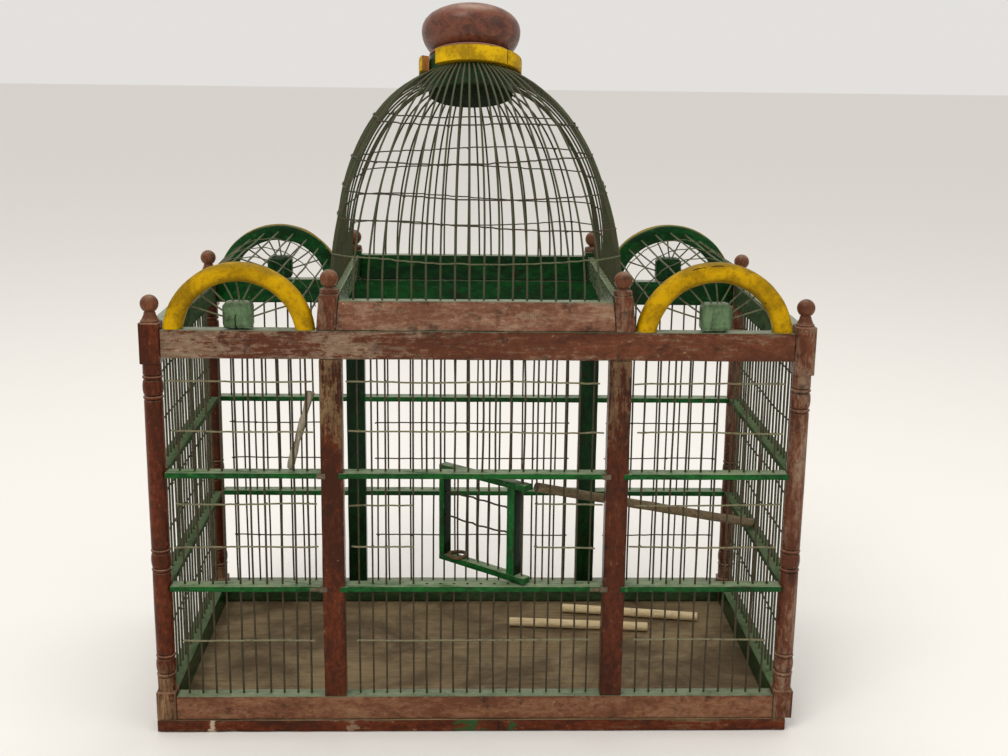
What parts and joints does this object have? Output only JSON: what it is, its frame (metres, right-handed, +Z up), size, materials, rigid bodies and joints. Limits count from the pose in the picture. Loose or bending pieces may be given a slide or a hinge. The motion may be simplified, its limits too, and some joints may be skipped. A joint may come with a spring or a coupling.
{
  "type": "bird cage",
  "caption": "Painted wooden bird cage with turned corner posts, wire walls, a wire dome under a turned knob, barrel vaults with arched ends and a small hinged front door.",
  "frame": {"origin": "on the ground, in the middle of the corner posts", "axes": "+Z up, the front wall with the door faces -Y, +X to the right as seen from the front"},
  "size_m": [0.61, 0.308, 0.6839],
  "materials": {
    "red_paint": "worn red-brown paint",
    "green_paint": "worn dark green paint",
    "sage_paint": "dusty pale green paint",
    "yellow_paint": "worn yellow paint",
    "brown_paint": "semi-gloss brown paint",
    "wire": "old green paint with rust",
    "bare_wood": "bare pine",
    "iron": "rusty"
  },
  "bodies": {
    "cage": {"floor_board": "red_paint", "corner_post_front_left": "red_paint", "corner_post_front_right": "red_paint", "corner_post_rear_left": "red_paint", "corner_post_rear_right": "red_paint", "bottom_rail_front": "red_paint", "bottom_rail_rear": "red_paint", "bottom_rails_side": "red_paint", "top_rail_front": "red_paint", "top_rail_rear": "red_paint", "top_rails_side": "red_paint", "front_stile_left": "red_paint", "front_stile_right": "red_paint", "rear_stiles": "green_paint", "front_cross_rails_upper": "green_paint", "front_cross_rails_lower": "green_paint", "rear_cross_rails_upper": "green_paint", "rear_cross_rails_lower": "green_paint", "left_cross_rails": "green_paint", "right_cross_rails": "green_paint", "front_wires_left": "wire", "front_wires_right": "wire", "front_wires_beside_door": "wire", "front_wires_over_door": "wire", "front_wires_under_door": "wire", "hinge_wire": "wire", "rear_wires": "wire", "left_wires": "wire", "right_wires": "wire", "tie_wires": "wire", "dome_board_front": "red_paint", "dome_board_rear": "green_paint", "dome_boards_side": "red_paint", "dome_posts_front": "red_paint", "dome_posts_rear": "red_paint", "dome_wires_front": "wire", "dome_wires_rear": "wire", "dome_wires_left": "wire", "dome_wires_right": "wire", "dome_bands": "wire", "crown_hub": "green_paint", "crown_collar": "yellow_paint", "crown_knob": "brown_paint", "vault_arch_front_left": "yellow_paint", "vault_arch_front_right": "yellow_paint", "vault_arch_rear_left": "yellow_paint", "vault_arch_rear_right": "yellow_paint", "vault_hubs": "sage_paint", "fan_wires": "wire", "vault_wires_left": "wire", "vault_wires_right": "wire", "perch_dowel": "bare_wood", "perch_stick": "bare_wood", "floor_dowels": "bare_wood"},
    "door": {"door_hinge_stile": "green_paint", "door_latch_stile": "green_paint", "door_top_rail": "green_paint", "door_bottom_rail": "green_paint", "door_wires": "wire", "door_ring": "iron"}
  },
  "joints": [
    {"name": "door_hinge", "type": "hinge", "parent": "cage", "child": "door", "pos_m": [0.04117, -0.1445, 0.2], "axis": [0, 0, -1], "range_deg": [-41, 49]}
  ]
}
